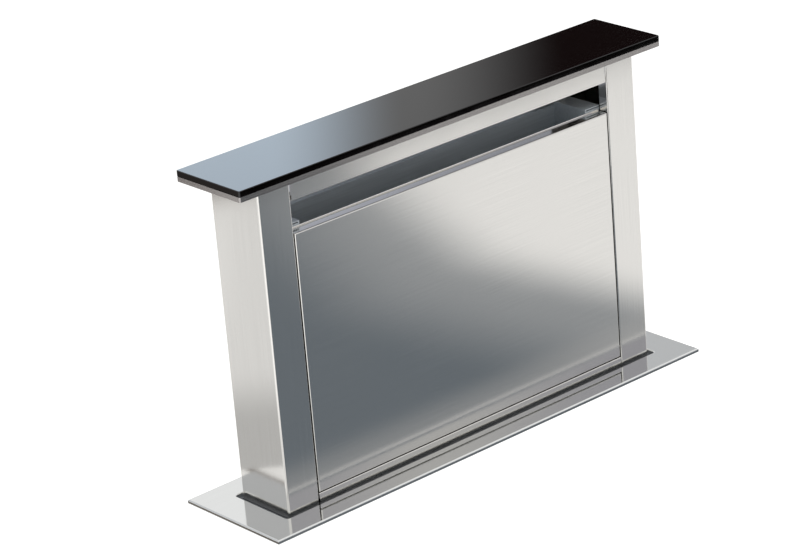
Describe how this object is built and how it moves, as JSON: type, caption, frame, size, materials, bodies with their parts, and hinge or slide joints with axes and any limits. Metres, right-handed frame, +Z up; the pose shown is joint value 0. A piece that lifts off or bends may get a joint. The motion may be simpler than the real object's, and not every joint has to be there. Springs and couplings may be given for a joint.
{
  "type": "downdraft vent",
  "caption": "Retractable downdraft vent: a glass-topped steel tower with a wide air inlet and a tilting front panel rises from a slot in a worktop trim plate.",
  "frame": {"origin": "centre of the worktop cut-out, on the worktop's surface that the gasket under the trim plate sits on", "axes": "+X to the right as the cook sees it, -Y towards the cook, +Z up, the way the tower rises"},
  "size_m": [0.62, 0.3485, 0.9523],
  "materials": {
    "casing_steel": "satin brushed stainless steel",
    "trim_steel": "polished stainless steel",
    "lid_glass": "black toughened glass, high gloss",
    "galvanised": "galvanised sheet steel",
    "machined_steel": "machined steel",
    "filter_aluminium": "bright aluminium",
    "rail_aluminium": "anodised aluminium",
    "black_plastic": "black moulded plastic",
    "grey_plastic": "grey moulded plastic",
    "white_plastic": "white low-friction plastic",
    "green_board": "printed circuit board",
    "bronze": "sintered bronze",
    "motor_black": "black painted steel",
    "seal_rubber": "black rubber",
    "foam_gasket": "closed-cell foam"
  },
  "bodies": {
    "chassis": {"worktop_flange": "trim_steel", "worktop_gasket": "foam_gasket", "slot_seal": "seal_rubber", "left_rack": "machined_steel", "right_rack": "machined_steel", "left_guide_rail": "rail_aluminium", "right_guide_rail": "rail_aluminium", "chassis_left": "galvanised", "chassis_right": "galvanised", "chassis_front": "galvanised", "chassis_back": "galvanised", "chassis_bottom": "galvanised", "worktop_brackets": "galvanised", "buffer_stops": "seal_rubber", "blower_box": "galvanised", "fan_housing": "grey_plastic", "outlet_transition": "grey_plastic", "fan_motor": "motor_black", "fan_motor_bracket": "galvanised", "outlet_collar": "galvanised", "damper_pin": "machined_steel", "control_box": "black_plastic", "control_box_cover": "black_plastic", "cable_gland": "black_plastic", "limit_switches": "black_plastic", "chassis_screws": "machined_steel"},
    "tower": {"lid_glass": "lid_glass", "lid_tray": "casing_steel", "left_column": "casing_steel", "right_column": "casing_steel", "rear_panel": "casing_steel", "front_fascia": "casing_steel", "lower_front": "casing_steel", "left_duct_side": "casing_steel", "right_duct_side": "casing_steel", "throat_back_plate": "casing_steel", "filter_ledge": "casing_steel", "filter_channel": "casing_steel", "panel_pivot_pins": "machined_steel", "panel_catches": "machined_steel", "control_board": "green_board", "shaft_bearings": "bronze", "lift_beam": "galvanised", "lift_gearbox": "machined_steel", "lift_motor": "motor_black", "guide_shoes": "white_plastic"},
    "front_panel": {"front_panel": "casing_steel"},
    "left_filter": {"left_filter_frame": "filter_aluminium", "left_filter_mesh": "filter_aluminium"},
    "right_filter": {"right_filter_frame": "filter_aluminium", "right_filter_mesh": "filter_aluminium"},
    "lift_shaft": {"lift_shaft": "machined_steel", "left_pinion": "machined_steel", "right_pinion": "machined_steel", "shaft_gear": "white_plastic"},
    "motor_gear": {"motor_gear": "bronze"},
    "fan": {"fan_impeller": "black_plastic"},
    "front_flap": {"front_damper_flap": "filter_aluminium"},
    "rear_flap": {"rear_damper_flap": "filter_aluminium"}
  },
  "joints": [
    {"name": "tower_slide", "type": "slide", "parent": "chassis", "child": "tower", "axis": [0, 0, 1], "range_m": [-0.3465, 0]},
    {"name": "panel_tilt", "type": "hinge", "parent": "tower", "child": "front_panel", "pos_m": [0, -0.033, 0.0254], "axis": [1, 0, 0], "range_deg": [0, 25]},
    {"name": "left_filter_lift", "type": "slide", "parent": "tower", "child": "left_filter", "axis": [0, 0.1565, 0.9877], "range_m": [0, 0.008]},
    {"name": "right_filter_lift", "type": "slide", "parent": "tower", "child": "right_filter", "axis": [0, 0.1565, 0.9877], "range_m": [0, 0.008]},
    {"name": "lift_shaft_spin", "type": "hinge", "parent": "tower", "child": "lift_shaft", "pos_m": [0, 0.017, -0.085], "axis": [1, 0, 0], "range_deg": [0, 1420]},
    {"name": "motor_gear_spin", "type": "hinge", "parent": "tower", "child": "motor_gear", "pos_m": [0.06, -0.0055, -0.085], "axis": [1, 0, 0], "range_deg": [-2840, 0]},
    {"name": "fan_spin", "type": "hinge", "parent": "chassis", "child": "fan", "pos_m": [0, -0.16, -0.3385], "axis": [1, 0, 0], "continuous": true},
    {"name": "front_flap_swing", "type": "hinge", "parent": "chassis", "child": "front_flap", "pos_m": [0, -0.19, -0.5075], "axis": [1, 0, 0], "range_deg": [0, 75], "stiffness_Nm_per_rad": 0.01, "springref_deg": -80.21},
    {"name": "rear_flap_swing", "type": "hinge", "parent": "chassis", "child": "rear_flap", "pos_m": [0, -0.19, -0.5075], "axis": [-1, 0, 0], "range_deg": [0, 75], "stiffness_Nm_per_rad": 0.01, "springref_deg": -80.21}
  ],
  "couplings": [
    {"joint": "lift_shaft_spin", "follows": "tower_slide", "rad_per_m": -71.429},
    {"joint": "motor_gear_spin", "follows": "tower_slide", "rad_per_m": 142.86}
  ]
}
